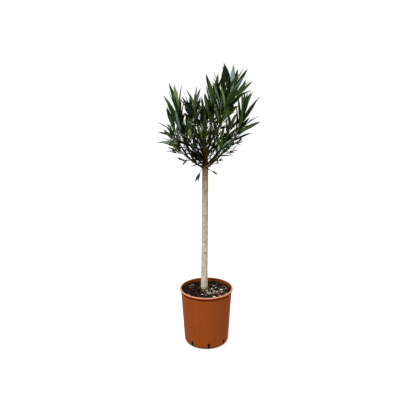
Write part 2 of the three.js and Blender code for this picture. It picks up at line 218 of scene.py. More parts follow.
def rescale(material, value, low, high, side="From"):
    """Turns a number from between two limits into one from 0 to 1, or with the side "To" the other way."""
    node = add_node(material, "MapRange")
    feed(material, node.inputs["Value"], value)
    feed(material, node.inputs[side + " Min"], low)
    feed(material, node.inputs[side + " Max"], high)
    return node.outputs["Result"]


def height_on(material, low, high):
    """How far up a point lies between two heights, from 0 to 1."""
    parts = add_node(material, "SeparateXYZ")
    feed(material, parts.inputs[0], object_place(material))
    return rescale(material, parts.outputs["Z"], low, high)


def distance_out(material, low, high):
    """How far from the upright axis a point lies between two radii, from 0 to 1."""
    level = add_node(material, "VectorMath", operation="MULTIPLY")
    feed(material, level.inputs[0], object_place(material))
    feed(material, level.inputs[1], (1, 1, 0))
    length = add_node(material, "VectorMath", operation="LENGTH")
    feed(material, length.inputs[0], level.outputs[0])
    return rescale(material, length.outputs["Value"], low, high)


def grain(material, scale, detail=4, stretch=(1, 1, 1)):
    """Noise from 0 to 1 that is fixed to the piece."""
    mapping = add_node(material, "Mapping")
    feed(material, mapping.inputs["Vector"], object_place(material))
    feed(material, mapping.inputs["Scale"], stretch)
    texture = add_node(material, "TexNoise")
    feed(material, texture.inputs["Vector"], mapping.outputs["Vector"])
    feed(material, texture.inputs["Scale"], scale)
    feed(material, texture.inputs["Detail"], detail)
    return texture.outputs["Fac"]


def ramp(material, factor, stops):
    """A colour for each number, from a list of (number, colour) stops."""
    node = add_node(material, "ValToRGB")
    elements = node.color_ramp.elements
    while len(elements) < len(stops):
        elements.new(0.5)
    for element, (place, color) in zip(elements, stops):
        element.position = place
        element.color = (*color, 1)
    feed(material, node.inputs["Fac"], factor)
    return node.outputs["Color"]


def fade(material, factor, *stops):
    """A share for each number, from (number, share) stops."""
    return ramp(material, factor, [(place, [share] * 3) for place, share in stops])


def mix_colors(material, factor, first, second, blend="MIX"):
    node = add_node(material, "Mix", data_type="RGBA", blend_type=blend)
    feed(material, node.inputs[0], factor)
    for socket, color in ((node.inputs[6], first), (node.inputs[7], second)):
        feed(material, socket, (*color, 1) if isinstance(color, tuple) else color)
    return node.outputs[2]


def multiply(material, first, second):
    return mix_colors(material, 1, first, second, blend="MULTIPLY")


def add_bump(material, height, strength, distance):
    """A bump on top of any bump that the shader has already."""
    shader = shader_of(material)
    bump = add_node(material, "Bump")
    feed(material, bump.inputs["Strength"], strength)
    feed(material, bump.inputs["Distance"], distance)
    feed(material, bump.inputs["Height"], height)
    if shader.inputs["Normal"].is_linked:
        feed(material, bump.inputs["Normal"], shader.inputs["Normal"].links[0].from_socket)
    feed(material, shader.inputs["Normal"], bump.outputs["Normal"])


def set_color(material, color):
    feed(material, shader_of(material).inputs["Base Color"], color)


def set_roughness(material, factor, low, high):
    """Roughness that follows a pattern between two limits."""
    feed(material, shader_of(material).inputs["Roughness"], rescale(material, factor, low, high, "To"))


# %% [markdown]
# The pot is a moulded plastic container: a thin tapered wall that turns into a rolled rim at the top and a
# rounded foot below. A potter's way of thinking fits it: draw half of its section as a line of edges, point
# by point, and spin that line round the axis. The drainage slots are cut through the foot afterwards.

# %% Pot: its section
POT_HEIGHT = 0.359
RIM_RADIUS = 0.1635
BEAD = 0.006
MOUTH_RADIUS = 0.1565
FOOT_RADIUS = 0.137
FOOT_ROUND = 0.03
WALL = 0.003
SPIN_STEPS = 96
FOOT_STEPS = 8
BEAD_STEPS = 20


def arc(centre, radius, start, end, steps):
    """Points of an arc, with angles in degrees from the outward direction."""
    angles = np.radians(np.linspace(start, end, steps + 1))
    return [Vector((centre[0] + radius * math.cos(a), 0, centre[1] + radius * math.sin(a))) for a in angles]


def draw_section(points, name):
    """An open line of edges: one corner, extruded from point to point."""
    bpy.ops.mesh.primitive_plane_add(size=WALL)
    piece = bpy.context.object
    piece.name = name
    bpy.ops.object.mode_set(mode="EDIT")
    bpy.ops.mesh.merge(type="CENTER")
    bpy.ops.transform.translate(value=points[0])
    for before, after in zip(points, points[1:]):
        bpy.ops.mesh.extrude_vertices_move(TRANSFORM_OT_translate={"value": after - before})
    bpy.ops.object.mode_set(mode="OBJECT")
    return piece


def spin_section(piece, steps):
    """Turns a section into a closed body of revolution."""
    make_active(piece)
    bpy.ops.object.mode_set(mode="EDIT")
    bpy.ops.mesh.select_all(action="SELECT")
    bpy.ops.mesh.spin(steps=steps, angle=2 * math.pi, center=(0, 0, 0), axis=(0, 0, 1))
    bpy.ops.mesh.select_all(action="SELECT")
    bpy.ops.mesh.remove_doubles(threshold=0.01 * MM)
    bpy.ops.mesh.normals_make_consistent(inside=False)
    bpy.ops.object.mode_set(mode="OBJECT")


foot_centre = (FOOT_RADIUS - FOOT_ROUND, FOOT_ROUND)
bead_centre = (RIM_RADIUS - BEAD, POT_HEIGHT - BEAD)
bead_outside = math.degrees(math.asin((bead_centre[0] - MOUTH_RADIUS) / BEAD))
bead_inside = math.degrees(math.asin((bead_centre[0] - MOUTH_RADIUS + WALL) / BEAD))
pot_section = [
    Vector((0, 0, 0)),
    *arc(foot_centre, FOOT_ROUND, -90, 0, FOOT_STEPS),
    *arc(bead_centre, BEAD, -90 - bead_outside, 270 - bead_inside, BEAD_STEPS),
    *arc(foot_centre, FOOT_ROUND - WALL, 0, -90, FOOT_STEPS),
    Vector((0, 0, WALL)),
]
pot = draw_section(pot_section, "pot_shell")
spin_section(pot, SPIN_STEPS)
print("pot section", len(pot_section), "points, spun to", len(pot.data.polygons), "faces")

# %% Pot: drainage slots and the mark on the rim
SLOT_COUNT = 8
SLOT_WIDTH = 0.015
SLOT_LOW = 0.006
SLOT_HIGH = 0.048
SLOT_HEADING = 6.5
SLOT_ROUNDING = 0.003
MARK_RADIUS = 0.0022
MARK_SUNK = 0.0004
MARK_PLACE = (0.002, MARK_SUNK - RIM_RADIUS, POT_HEIGHT - 1.4 * BEAD)

slot_middle = (SLOT_LOW + SLOT_HIGH) / 2
bpy.ops.mesh.primitive_cube_add(size=1, location=(0, -(FOOT_RADIUS + FOOT_ROUND / 4), slot_middle))
slot = bpy.context.object
slot.scale = (SLOT_WIDTH, 2 * FOOT_ROUND, SLOT_HIGH - SLOT_LOW)
bpy.ops.object.transform_apply(location=True, rotation=True, scale=True)
apply_modifier(slot, "BEVEL", width=SLOT_ROUNDING, segments=3)
for index in range(SLOT_COUNT):
    cutter = slot.copy()
    cutter.data = slot.data.copy()
    cutter.data.transform(Matrix.Rotation(math.radians(SLOT_HEADING + 360 / SLOT_COUNT * index), 4, "Z"))
    bpy.context.scene.collection.objects.link(cutter)
    apply_modifier(pot, "BOOLEAN", object=cutter, operation="DIFFERENCE", solver="EXACT")
    bpy.data.objects.remove(cutter)
bpy.data.objects.remove(slot)

bpy.ops.mesh.primitive_uv_sphere_add(segments=12, ring_count=8, radius=MARK_RADIUS, location=MARK_PLACE)
bpy.ops.object.transform_apply(location=True, rotation=True, scale=True)
pot.select_set(True)
bpy.context.view_layer.objects.active = pot
bpy.ops.object.join()
smooth(pot, 35)
print("slots cut:", SLOT_COUNT)

# %% [markdown]
# The plastic is terracotta-coloured and satin. Handling has scuffed the rolled rim to a paler pink, and that
# paler pink is partly a painted highlight. The wall has faint upright flow marks from the mould. Just under
# the rim the outer wall has a dark band of painted shade, and the foot is darker towards the bottom. All of
# it follows the object's own coordinates, so it stays put in every view.

# %% Pot: moulded plastic
POT_ORANGE = srgb(118, 56, 19)
POT_DEEP = srgb(107, 47, 15)
POT_SCUFF = srgb(132, 68, 36)
# the rolled rim's paler pink: scuffing, and partly a painted highlight
POT_RIM_WEAR_AND_HIGHLIGHT = srgb(172, 122, 95)
# a dark red: painted shade in a band under the rim, also used to make the foot darker towards the bottom
POT_SHADE_AND_FOOT_DARK = srgb(76, 20, 5)
POT_GLOSS = 0.01
# the heights of the band of painted shade just under the rim
PAINTED_SHADE_LOW = POT_HEIGHT - 0.026
PAINTED_SHADE_HIGH = POT_HEIGHT - 0.0055
FOOT_DARK_HEIGHT = 0.03


def make_pot_plastic():
    plastic = plain_material("terracotta_plastic", POT_ORANGE, 0.42, POT_GLOSS)
    cloud = grain(plastic, 9, detail=3)
    streaks = grain(plastic, 60, detail=2, stretch=(1, 1, 0.04))
    tone = mix_colors(plastic, cloud, POT_DEEP, POT_ORANGE)
    tone = mix_colors(plastic, fade(plastic, streaks, (0.5, 0), (0.9, 0.22)), tone, POT_SCUFF)
    rim = height_on(plastic, POT_HEIGHT - 2 * BEAD, POT_HEIGHT)
    past_inside = distance_out(plastic, MOUTH_RADIUS - WALL, RIM_RADIUS)
    outside = fade(plastic, past_inside, (0, 0), (0.3, 0.9))
    # paler pink on the outer rim: scuffs together with a painted highlight
    rim_wear_and_highlight = fade(plastic, rim, (0.45, 0), (0.8, 1))
    tone = mix_colors(plastic, multiply(plastic, outside, rim_wear_and_highlight), tone, POT_RIM_WEAR_AND_HIGHLIGHT)
    # painted shade: the outer wall just under the rolled rim is darkened where the rim's shade falls
    shade_band = height_on(plastic, PAINTED_SHADE_LOW, PAINTED_SHADE_HIGH)
    painted_shade_mask = fade(plastic, shade_band, (0, 0), (0.3, 1), (0.8, 1), (1, 0))
    shade_outer_side = distance_out(plastic, MOUTH_RADIUS - WALL, MOUTH_RADIUS - WALL / 3)
    tone = mix_colors(plastic, multiply(plastic, painted_shade_mask, shade_outer_side), tone, POT_SHADE_AND_FOOT_DARK)
    # the foot is darker towards the bottom, in the same dark red
    foot_darkening = fade(plastic, height_on(plastic, 0, FOOT_DARK_HEIGHT), (0, 0.75), (0.5, 0.3), (1, 0))
    tone = mix_colors(plastic, foot_darkening, tone, POT_SHADE_AND_FOOT_DARK)
    set_color(plastic, tone)
    set_roughness(plastic, grain(plastic, 140, detail=3), 0.34, 0.56)
    add_bump(plastic, grain(plastic, 700, detail=2), 0.15, 0.2 * MM)
    add_bump(plastic, streaks, 0.2, 0.4 * MM)
    return plastic


pot.data.materials.append(make_pot_plastic())
settle(pot, ["pot"])

# %% [markdown]
# The compost is a dark crumbly bed just under the rim, with pale chips of bark on it. Its body is spun like
# the pot, then its top is pushed up and down by noise. A few rough lumps are modelled and scattered in many
# sizes, rounder as crumbs and flatter as chips, because real compost is a heap of separate lumps. The crumbs
# become one joined mesh and the chips another.

# %% Soil: the bed
SOIL_EDGE_HEIGHT = 0.338
SOIL_CROWN_HEIGHT = 0.341
SOIL_SEAT_HEIGHT = 0.345
SOIL_SEAT_RADIUS = 0.025
SOIL_MOUND_RADIUS = 0.062
TRUNK_FOOT = (-0.013, 0.015)
SOIL_CLEARANCE = 0.0004
SOIL_LUMP = 0.0036
SOIL_COARSE_GRAIN = 60
SOIL_FINE_GRAIN = 170
SOIL_FINE_SHARE = 0.6
SOIL_SEAT_CALM = 0.4
SOIL_RINGS = 34
SOIL_FOOT_STEPS = 6

wall_share = (SOIL_EDGE_HEIGHT - FOOT_ROUND) / (POT_HEIGHT - 2 * BEAD - FOOT_ROUND)
SOIL_RADIUS = FOOT_RADIUS + wall_share * (MOUTH_RADIUS - FOOT_RADIUS) - WALL - SOIL_CLEARANCE


def soil_height(x, y):
    """The height of the bed's top: a low cone, the mound at the trunk and lumps of two sizes."""
    out = min(1, math.hypot(x, y) / SOIL_RADIUS)
    height = SOIL_CROWN_HEIGHT + (SOIL_EDGE_HEIGHT - SOIL_CROWN_HEIGHT) * out
    from_trunk = math.hypot(x - TRUNK_FOOT[0], y - TRUNK_FOOT[1])
    climb = (SOIL_MOUND_RADIUS - from_trunk) / (SOIL_MOUND_RADIUS - SOIL_SEAT_RADIUS)
    mound = SOIL_EDGE_HEIGHT + (SOIL_SEAT_HEIGHT - SOIL_EDGE_HEIGHT) * min(1, climb)
    lumps = noise.noise(Vector((x * SOIL_COARSE_GRAIN, y * SOIL_COARSE_GRAIN, 0)))
    lumps += SOIL_FINE_SHARE * noise.noise(Vector((x * SOIL_FINE_GRAIN, y * SOIL_FINE_GRAIN, 3)))
    return max(height, mound) + SOIL_LUMP * lumps * (1 if from_trunk > SOIL_SEAT_RADIUS else SOIL_SEAT_CALM)


soil_section = [
    Vector((0, 0, WALL + SOIL_CLEARANCE)),
    *arc(foot_centre, FOOT_ROUND - WALL - SOIL_CLEARANCE, -90, 0, SOIL_FOOT_STEPS),
]
for ring in range(SOIL_RINGS, -1, -1):
    soil_section.append(Vector((SOIL_RADIUS * ring / SOIL_RINGS, 0, SOIL_EDGE_HEIGHT)))
soil = draw_section(soil_section, "soil_bed")
spin_section(soil, SPIN_STEPS)
for corner in soil.data.vertices:
    if corner.co.z > SOIL_EDGE_HEIGHT - MM:
        corner.co.z = soil_height(corner.co.x, corner.co.y)
smooth(soil, 60)


def make_compost(name, dark, light, scale):
    compost = plain_material(name, dark, 0.95, 0)
    blotches = grain(compost, scale, detail=5)
    set_color(compost, ramp(compost, blotches, [(0.35, dark), (0.7, light)]))
    add_bump(compost, grain(compost, 4 * scale, detail=5), 0.7, 0.8 * MM)
    return compost


soil.data.materials.append(make_compost("dark_compost", srgb(5, 4, 3), srgb(34, 24, 17), 110))
settle(soil, ["soil"])

# %% Soil: crumbs and bark chips
LITTER_SEED = 11
LUMP_SHAPES = 5
LUMP_ROUGHNESS = 0.55
LUMP_GRAIN = 1.7
CRUMB_COUNT = 1100
CHIP_COUNT = 760
LITTER_MARGIN = 0.004
CRUMB_LOW, CRUMB_HIGH = 0.004, 0.013
CHIP_LOW, CHIP_HIGH = 0.008, 0.025
CRUMB_STRETCH = (1, 0.7, 0.55)
CHIP_STRETCH = (1, 0.42, 0.2)
CRUMB_TILT = 0.6
CRUMB_BROWN_SHARE = 0.45
CRUMB_BROWN_DRIFT = 2
CHIP_PATCH = (0.055, -0.022)
CHIP_PATCH_RADIUS = 0.06
CHIPS_ELSEWHERE = 0.1
CHIP_TILT = 0.35
PALE_SHARE = 0.9
PALE_REACH = 1.4

litter_dice = np.random.default_rng(LITTER_SEED)


def model_lump(shape):
    """A rough lump: a sphere of few faces whose corners are pulled about."""
    bpy.ops.mesh.primitive_ico_sphere_add(subdivisions=2, radius=1)
    lump = bpy.context.object
    for corner in lump.data.vertices:
        corner.co *= 1 + LUMP_ROUGHNESS * noise.noise(corner.co * LUMP_GRAIN + Vector((7 * shape, 0, 0)))
    points = np.array([corner.co for corner in lump.data.vertices])
    faces = [tuple(face.vertices) for face in lump.data.polygons]
    bpy.data.objects.remove(lump)
    return points, faces


def random_turn(tilt):
    """A turn by any angle about the upright, then a small tilt."""
    heading = Matrix.Rotation(litter_dice.uniform(0, 2 * math.pi), 3, "Z")
    lean = Matrix.Rotation(litter_dice.uniform(-tilt, tilt), 3, "X")
    roll = Matrix.Rotation(litter_dice.uniform(-tilt, tilt), 3, "Y")
    return np.array(heading @ lean @ roll)


def scatter(name, count, sizes, pick_kind, materials):
    """Many copies of the lumps on the bed, joined into one mesh."""
    smallest, largest, stretch, tilt = sizes
    points, faces, kinds = [], [], []
    for index in range(count):
        reach = (SOIL_RADIUS - LITTER_MARGIN) * math.sqrt(litter_dice.random())
        heading = litter_dice.uniform(0, 2 * math.pi)
        x, y = reach * math.sin(heading), -reach * math.cos(heading)
        size = litter_dice.uniform(smallest, largest) * litter_dice.uniform(0.6, 1)
        shape_points, shape_faces = lump_shapes[index % len(lump_shapes)]
        turn = random_turn(tilt)
        kind = pick_kind(x, y)
        if kind is None or math.hypot(x - TRUNK_FOOT[0], y - TRUNK_FOOT[1]) < SOIL_SEAT_RADIUS:
            continue
        if reach + size * max(stretch) / 2 > SOIL_RADIUS:
            continue
        start = sum(len(block) for block in points)
        sized = shape_points * (np.array(stretch) * size / 2)
        points.append(sized @ turn.T + np.array([x, y, soil_height(x, y) + 0.2 * size * stretch[2]]))
        faces += [tuple(corner + start for corner in face) for face in shape_faces]
        kinds += [kind] * len(shape_faces)
    return mesh_piece(name, np.concatenate(points), faces, materials, kinds)


def mesh_piece(name, points, faces, materials, kinds):
    """An object from arrays of corners and faces, with a material for each face."""
    mesh = bpy.data.meshes.new(name)
    mesh.from_pydata(points.tolist(), [], faces)
    for material in materials:
        mesh.materials.append(material)
    mesh.polygons.foreach_set("material_index", kinds)
    mesh.update()
    piece = bpy.data.objects.new(name, mesh)
    bpy.context.scene.collection.objects.link(piece)
    return piece


def crumb_kind(x, y):
    """Most crumbs are dark, and more of them are brown or olive towards the right."""
    if litter_dice.random() > CRUMB_BROWN_SHARE + CRUMB_BROWN_DRIFT * x:
        return 0
    return int(litter_dice.choice([1, 2]))


def chip_kind(x, y):
    """Chips lie thickest and palest in a patch to the right of the trunk."""
    from_patch = math.hypot(x - CHIP_PATCH[0], y - CHIP_PATCH[1])
    thick = mix(CHIPS_ELSEWHERE, 1, math.exp(-((from_patch / CHIP_PATCH_RADIUS) ** 2)))
    pale = PALE_SHARE * math.exp(-((from_patch / CHIP_PATCH_RADIUS / PALE_REACH) ** 2))
    if litter_dice.random() > thick:
        return None
    return int(litter_dice.choice([0, 0, 1, 3] if litter_dice.random() < pale else [1, 2, 2]))


crumb_materials = [
    make_compost("crumb_dark", srgb(8, 6, 5), srgb(22, 17, 13), 300),
    make_compost("crumb_brown", srgb(38, 27, 21), srgb(78, 58, 48), 300),
    make_compost("crumb_olive", srgb(34, 32, 24), srgb(68, 63, 50), 300),
]
lump_shapes = [model_lump(shape) for shape in range(LUMP_SHAPES)]
crumb_sizes = (CRUMB_LOW, CRUMB_HIGH, CRUMB_STRETCH, CRUMB_TILT)
crumbs = scatter("soil_crumbs", CRUMB_COUNT, crumb_sizes, crumb_kind, crumb_materials)
smooth(crumbs, 50)
settle(crumbs, ["soil"])

chip_materials = [
    make_compost("chip_pale", srgb(160, 154, 142), srgb(232, 226, 214), 180),
    make_compost("chip_tan", srgb(92, 84, 62), srgb(140, 130, 102), 180),
    make_compost("chip_brown", srgb(40, 30, 24), srgb(84, 66, 54), 180),
    make_compost("chip_pink", srgb(120, 92, 84), srgb(190, 160, 148), 180),
]
chip_sizes = (CHIP_LOW, CHIP_HIGH, CHIP_STRETCH, CHIP_TILT)
chips = scatter("bark_chips", CHIP_COUNT, chip_sizes, chip_kind, chip_materials)
settle(chips, ["soil"])

# %% [markdown]
# The plant grows by the same rule as the CAD solids, written again here in millimetres: the trunk leans a
# little, every limb is a curve that runs out and then up to its growing point, and a seeded row of numbers
# deals out turns, lengths and arches. So every leaf of these limbs has the place of a leaf of the CAD part.
#
# A row of the table holds a limb's name, what it grows from and where on that it starts, as a height or a
# share of its length. Then come its heading in degrees, its reach, the height of its tip, the length of its
# leaves, how wide they open, its count of side twigs, or for a spur of whorls, and its seed.

# %% Growth: the limbs
TRUNK_FORK = (-6, 15)
TRUNK_FORK_HEIGHT = 1100
TRUNK_TOP_HEIGHT = 1224
TRUNK_FOOT_RADIUS = 20.5
TRUNK_RADIUS = 18
TRUNK_TOP_RADIUS = 12.5
TRUNK_FLARE = 1.5
TRUNK_FLARE_HEIGHT = 45
UP = np.array([0.0, 0.0, 1.0])

LIMBS = [
    ("left_low", "trunk", 1098, -72, 192, 1288, 98, 0.8, 1, 10),
    ("right_outer", "trunk", 1098, 85, 206, 1380, 192, 0.46, 1, 9),
    ("back_low_left", "trunk", 1112, -126, 172, 1298, 125, 1, 1, 3),
    ("front_low", "trunk", 1118, 36, 165, 1258, 100, 0.9, 1, 4),
    ("back_low_right", "trunk", 1116, 124, 170, 1312, 125, 0.8, 1, 8),
    ("front_left", "trunk", 1132, -36, 158, 1328, 115, 1, 1, 4),
    ("back_middle", "trunk", 1140, -176, 168, 1372, 145, 1, 1, 3),
    ("front_middle", "trunk", 1155, -6, 128, 1312, 105, 1, 2, 8),
    ("back_left", "trunk", 1162, -148, 158, 1412, 140, 0.9, 1, 7),
    ("front_right", "trunk", 1170, 41, 122, 1362, 155, 0.9, 1, 2),
    ("back_right", "trunk", 1176, 146, 158, 1462, 155, 0.9, 2, 6),
    ("left_middle", "trunk", 1186, -118, 66, 1450, 135, 0.9, 2, 1),
    ("top_right", "trunk", 1192, 72, 100, 1506, 186, 1, 1, 7),
    ("top_middle", "trunk", 1215, 116, 56, 1478, 190, 0.75, 1, 3),
    ("left_top", "left_low", 0.19, -74, 154, 1398, 208, 0.34, 2, 11),
    ("left_outer", "left_low", 0.34, -98, 184, 1345, 140, 0.85, 1, 3),
    ("right_low", "right_outer", 0.35, 70, 160, 1255, 80, 0.9, 1, 2),
    ("right_top", "top_right", 0.33, 106, 158, 1535, 190, 0.95, 2, 6),
    ("right_front", "top_right", 0.22, 52, 140, 1462, 165, 1, 1, 8),
]
SPURS = [
    ("spur_left", "trunk", 1118, -34, 54, 1084, 66, 1, 1, 8),
    ("spur_right", "trunk", 1106, 42, 50, 1096, 56, 1, 1, 4),
    ("spur_low", "left_low", 0.3, -62, 126, 1160, 76, 1, 3, 4),
]
BOUGH_SHARE = 0.42
WHORLS_ON_STEM = 5
LIMB_BEND_OUT = 0.84
LIMB_BEND_UP = 0.5
BOUGH_FOOT_RADIUS = 6.5
BOUGH_TIP_RADIUS = 4.4
BOUGH_STEPS = 5
SEAT = SOIL_SEAT_HEIGHT / MM


def unit(vector):
    return vector / np.linalg.norm(vector)


def up_trunk(height):
    """How far up a height lies between the trunk's seat and its fork, from 0 to 1."""
    return (height - SEAT) / (TRUNK_FORK_HEIGHT - SEAT)


def trunk_centre(height):
    return np.array([*mix(np.array(TRUNK_FOOT) / MM, np.array(TRUNK_FORK), up_trunk(height)), height])


def trunk_radius(height):
    flare = TRUNK_FLARE * math.exp((SEAT - height) / TRUNK_FLARE_HEIGHT)
    if height < TRUNK_FORK_HEIGHT:
        return mix(TRUNK_FOOT_RADIUS, TRUNK_RADIUS, up_trunk(height)) + flare
    share = (height - TRUNK_FORK_HEIGHT) / (TRUNK_TOP_HEIGHT - TRUNK_FORK_HEIGHT)
    return mix(TRUNK_RADIUS, TRUNK_TOP_RADIUS, share) + flare


def curve_point(curve, place):
    foot, bend, tip = curve
    return (1 - place) ** 2 * foot + 2 * (1 - place) * place * bend + place**2 * tip


def curve_tangent(curve, place):
    step = 1e-4
    return unit(curve_point(curve, min(1, place + step)) - curve_point(curve, max(0, place - step)))


def curve_length(curve):
    points = np.array([curve_point(curve, place) for place in np.linspace(0, 1, 201)])
    return np.linalg.norm(np.diff(points, axis=0), axis=1).sum()


def path_between(curve, start, end, steps):
    return np.array([curve_point(curve, place) for place in np.linspace(start, end, steps + 1)])


def plan_limbs():
    """Each limb as a dictionary with its curve and its share of bough."""
    planned = {}
    for name, source, foot, heading, reach, height, leaf, opening, last, seed in LIMBS + SPURS:
        spur = name.startswith("spur")
        start = trunk_centre(foot) if source == "trunk" else curve_point(planned[source]["curve"], foot)
        angle = math.radians(heading)
        tip_x, tip_y = TRUNK_FORK[0] + reach * math.sin(angle), TRUNK_FORK[1] - reach * math.cos(angle)
        tip = np.array([tip_x, tip_y, height])
        bend = mix(start, tip, LIMB_BEND_OUT)
        bend[2] = mix(start[2], tip[2], LIMB_BEND_UP)
        planned[name] = {
            "name": name,
            "curve": (start, bend, tip),
            "bough": 0 if spur else BOUGH_SHARE,
            "leaf": leaf,
            "opening": opening,
            "whorls": last if spur else WHORLS_ON_STEM,
            "twigs": 0 if spur else last,
            "seed": seed,
        }
    return planned


limbs = plan_limbs()
print(len(LIMBS), "limbs and", len(SPURS), "spurs; highest growing point", max(row[5] for row in LIMBS), "mm")

# %% [markdown]
# A leaf may stand only where it is nearer to its own limb than to any other, and clear of the wood, so that
# the masses keep apart and the sky shows between them. Distances from many points to many straight
# stretches are worked out at once with arrays, which makes hundreds of leaves a matter of seconds.

# %% Growth: the space of each limb
SPACE_REACH = 120
SPACE_MARGIN = 2
LIMB_MARGIN = 1.5


def stretches(path):
    return path[:-1], path[1:]


def distances(points, starts, ends):
    """From each point to each straight stretch."""
    along = ends - starts
    offset = points[:, None, :] - starts
    share = np.clip((offset * along).sum(-1) / (along * along).sum(-1), 0, 1)
    return np.linalg.norm(offset - share[..., None] * along, axis=-1)


def space_path(limb):
    """The limb's stem, drawn on past its growing point."""
    path = path_between(limb["curve"], limb["bough"], 1, 2)
    beyond = path[-1] + SPACE_REACH * curve_tangent(limb["curve"], 1)
    return np.vstack([path, beyond])


def all_stretches(paths):
    """The starts and the ends of the straight stretches of many paths."""
    return tuple(np.concatenate(part) for part in zip(*map(stretches, paths)))


names = list(limbs)
space_starts, space_ends = all_stretches([space_path(limbs[name]) for name in names])
wood_paths = [(np.array([trunk_centre(SEAT), trunk_centre(TRUNK_TOP_HEIGHT)]), TRUNK_RADIUS)]
for name in names:
    if limbs[name]["bough"]:
        bough_path = path_between(limbs[name]["curve"], 0, BOUGH_SHARE, BOUGH_STEPS)
        wood_paths.append((bough_path, BOUGH_FOOT_RADIUS))
wood_starts, wood_ends = all_stretches([path for path, _ in wood_paths])
wood_radii = np.concatenate([[radius] * (len(path) - 1) for path, radius in wood_paths])


def clear_of_wood(points):
    return bool((distances(points, wood_starts, wood_ends) > wood_radii + LIMB_MARGIN).all())


def in_own_space(points, name):
    apart = distances(points, space_starts, space_ends).reshape(len(points), len(names), -1).min(-1)
    own = apart[:, names.index(name)].copy()
    apart[:, names.index(name)] = np.inf
    return bool((apart.min(-1) >= own + SPACE_MARGIN).all())


print(len(space_starts), "stretches of stem and", len(wood_starts), "of wood to keep clear of")

# %% Growth: dice, leaves and twigs
DICE_PRIME = 2147483647
DICE_FACTOR = 16807
DICE_SEED_FACTOR = 7919
LEAVES_PER_WHORL = 3
LEAF_BETWEEN = 360 / LEAVES_PER_WHORL
WHORL_FIRST = 5
WHORL_SPACING = 21
WHORL_SPACING_GROWTH = 4
WHORLS_ON_SIDE_TWIG = 3
WHORL_TURN = 60
TURN_VARIATION = 30
BARE_FOOT = 8
SPREAD_FIRST = 14
SPREAD_STEP = 11
SPREAD_VARIATION = 18
SAG_FIRST = 0.03
SAG_STEP = 0.02
SAG_VARIATION = 0.06
FIRST_WHORL_LENGTH = 0.92
WHORL_GAIN = 0.04
WHORL_LOSS = 0.06
LONGEST_WHORL = 2
SHORTEST_LEAF = 0.88
LEAF_LENGTH_VARIATION = 0.2
SIDE_TWIG_LEAF_SHARE = 0.75
SIDE_TWIG_LEAN = 42
SIDE_TWIG_LENGTH = 78
SIDE_TWIG_SPACING = 0.3
SIDE_TWIG_PROBES = (0.35, 0.6, 0.8, 1)
GOLDEN_ANGLE = 137.5
LEAF_WIDTH_SHARE = 0.16
PETIOLE_HALF_WIDTH = 1
LEAF_CLOSINGS = (1, 0.75, 0.5)
LEAF_SHORTENINGS = (1, 0.85)
LEAF_TURNS = (0, 25, -25)
LEAF_CLEARANCE = 6
SPUR_LEAF_BREADTH = 1.25
SPUR_LEAF_STIFFNESS = 0.25


def make_dice(seed):
    """The source's row of numbers from 0 to 1 for a seed."""
    state = (seed * DICE_SEED_FACTOR) % DICE_PRIME
    while True:
        state = (state * DICE_FACTOR) % DICE_PRIME
        yield state / DICE_PRIME


def leaf_points(leaf, places, acrosses):
    """Points on a leaf, by their share of its length and of its half width."""
    t = np.repeat(places, len(acrosses))[:, None]
    across = np.tile(acrosses, len(places))[:, None]
    full = leaf["length"] * LEAF_WIDTH_SHARE / 2
    half = np.where(t <= 0.5, mix(PETIOLE_HALF_WIDTH, full, 2 * t), mix(full, 0, 2 * t - 1))
    arch = leaf["sag"] * leaf["length"] * t * t
    spine = leaf["base"] + leaf["forward"] * leaf["length"] * t - leaf["up"] * arch
    return spine + leaf["side"] * across * half


def square_to(axis, turn):
    sideways = unit(np.cross(axis, UP))
    angle = math.radians(turn)
    return sideways * math.cos(angle) + np.cross(sideways, axis) * math.sin(angle)


def aim_leaf(base, axis, turn, spread, length, sag):
    outward = square_to(axis, turn)
    forward = axis * math.cos(spread) + outward * math.sin(spread)
    up = axis * math.sin(spread) - outward * math.cos(spread)
    side = np.cross(up, forward)
    leaf = {"base": base, "forward": forward, "up": up, "side": side, "length": length, "sag": sag}
    leaf["midrib"] = leaf_points(leaf, [0.3, 0.5, 0.7, 0.85, 1], [0])
    return leaf


def crosses_none(points, leaves, clearance):
    if not leaves:
        return True
    starts = np.concatenate([leaf["midrib"][:-1] for leaf in leaves])
    ends = np.concatenate([leaf["midrib"][1:] for leaf in leaves])
    return bool((distances(points, starts, ends) > clearance).all())


def leaf_fits(leaf, name, leaves):
    whole = leaf_points(leaf, [1 / 6, 1 / 3, 1 / 2, 2 / 3, 5 / 6, 1], [-1, 0, 1])
    if not (clear_of_wood(whole) and in_own_space(whole, name)):
        return False
    return crosses_none(whole[3:], leaves, LEAF_CLEARANCE)


def fit_leaf(fits, base, axis, turn, spread, length, sag):
    """The leaf as it stands, or turned aside, closed or shortened so that it fits; or none."""
    for shortening in LEAF_SHORTENINGS:
        for closing in LEAF_CLOSINGS:
            for aside in LEAF_TURNS:
                leaf = aim_leaf(base, axis, turn + aside, spread * closing, length * shortening, sag)
                if fits(leaf):
                    return leaf
    return None


